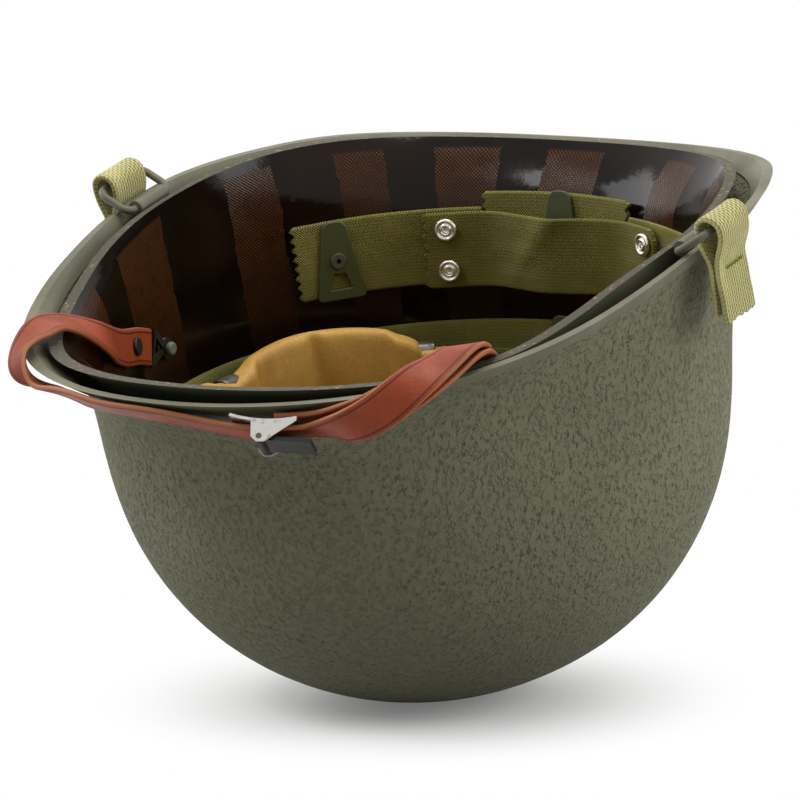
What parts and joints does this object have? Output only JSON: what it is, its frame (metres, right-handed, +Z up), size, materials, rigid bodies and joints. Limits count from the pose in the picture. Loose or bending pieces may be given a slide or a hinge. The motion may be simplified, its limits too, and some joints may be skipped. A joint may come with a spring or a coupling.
{
  "type": "steel pot helmet",
  "caption": "Deep steel pot helmet with flared rim, swivel bails and a lift-out fibre liner with webbing suspension, leather headband and cam-buckle chin strap, lying on its crown.",
  "frame": {"origin": "the point of the crown that the helmet lies on", "axes": "+Z up, out of the opening; -Y towards the visor; +X towards the wearer's right side, with the helmet leaning 9.8 degrees about X so that its visor is low"},
  "size_m": [0.2654, 0.2811, 0.1851],
  "materials": {
    "shell_paint": "matte, sand textured",
    "rim_paint": "satin",
    "bail_paint": "satin, worn",
    "khaki_webbing": "woven",
    "liner_fibre": "resin impregnated, glossy inside",
    "olive_webbing": "herringbone twill",
    "headband_webbing": "herringbone twill",
    "lace": "braided cotton",
    "washer_paint": "satin",
    "blackened_brass": "blackened",
    "tan_leather": "smooth, creased",
    "clip_steel": "satin",
    "nickel": "dull nickel",
    "stud_paint": "satin",
    "black_wire": "satin black",
    "strap_leather": "oiled",
    "buckle_steel": "worn"
  },
  "bodies": {
    "pot": {"steel_shell": "shell_paint", "rim_band": "rim_paint", "lug_left": "rim_paint", "lug_right": "rim_paint"},
    "bail_left": {"bail_left": "bail_paint"},
    "bail_right": {"bail_right": "bail_paint"},
    "webbing_left": {"webbing_end_left": "khaki_webbing"},
    "webbing_right": {"webbing_end_right": "khaki_webbing"},
    "liner": {"liner_shell": "liner_fibre", "suspension_band": "olive_webbing", "suspension_washers": "washer_paint", "washer_rivets": "blackened_brass", "crown_straps": "olive_webbing", "crown_lace": "lace", "headband": "headband_webbing", "headband_leather": "tan_leather", "headband_clips": "clip_steel", "headband_buckle": "clip_steel", "nape_tab_left": "olive_webbing", "nape_tab_right": "olive_webbing", "nape_tab_centre": "olive_webbing", "nape_washers": "washer_paint", "nape_band": "olive_webbing", "press_studs": "nickel", "press_stud_bases": "nickel", "strap_studs": "stud_paint"},
    "chin_strap": {"strap_hooks": "black_wire", "strap_long": "strap_leather", "strap_short": "strap_leather", "strap_buttons": "black_wire", "buckle_frame": "buckle_steel", "buckle_pin": "black_wire"},
    "buckle_lever": {"buckle_lever": "black_wire"}
  },
  "joints": [
    {"name": "liner_lift", "type": "slide", "parent": "pot", "child": "liner", "axis": [0, -0.1702, 0.9854], "range_m": [0, 0.2]},
    {"name": "bail_left_swivel", "type": "hinge", "parent": "pot", "child": "bail_left", "pos_m": [-0.115, -0.00289, 0.16922], "axis": [0, 0.9668, 0.2554], "range_deg": [0, 75]},
    {"name": "bail_right_swivel", "type": "hinge", "parent": "pot", "child": "bail_right", "pos_m": [0.115, -0.00289, 0.16922], "axis": [0, -0.9668, -0.2554], "range_deg": [0, 75]},
    {"name": "webbing_left_swing", "type": "hinge", "parent": "bail_left", "child": "webbing_left", "pos_m": [-0.12712, -0.00468, 0.17599], "axis": [0, 0.9668, 0.2554], "range_deg": [-8, 80]},
    {"name": "webbing_right_swing", "type": "hinge", "parent": "bail_right", "child": "webbing_right", "pos_m": [0.12712, -0.00468, 0.17599], "axis": [0, -0.9668, -0.2554], "range_deg": [-8, 80]},
    {"name": "strap_swing", "type": "hinge", "parent": "liner", "child": "chin_strap", "pos_m": [0, -0.01321, 0.11786], "axis": [-1, 0, 0], "range_deg": [0, 100]},
    {"name": "buckle_lever_turn", "type": "hinge", "parent": "chin_strap", "child": "buckle_lever", "pos_m": [0.03757, -0.14563, 0.11465], "axis": [-0.3977, 0.8, -0.4492], "range_deg": [0, 100]}
  ]
}
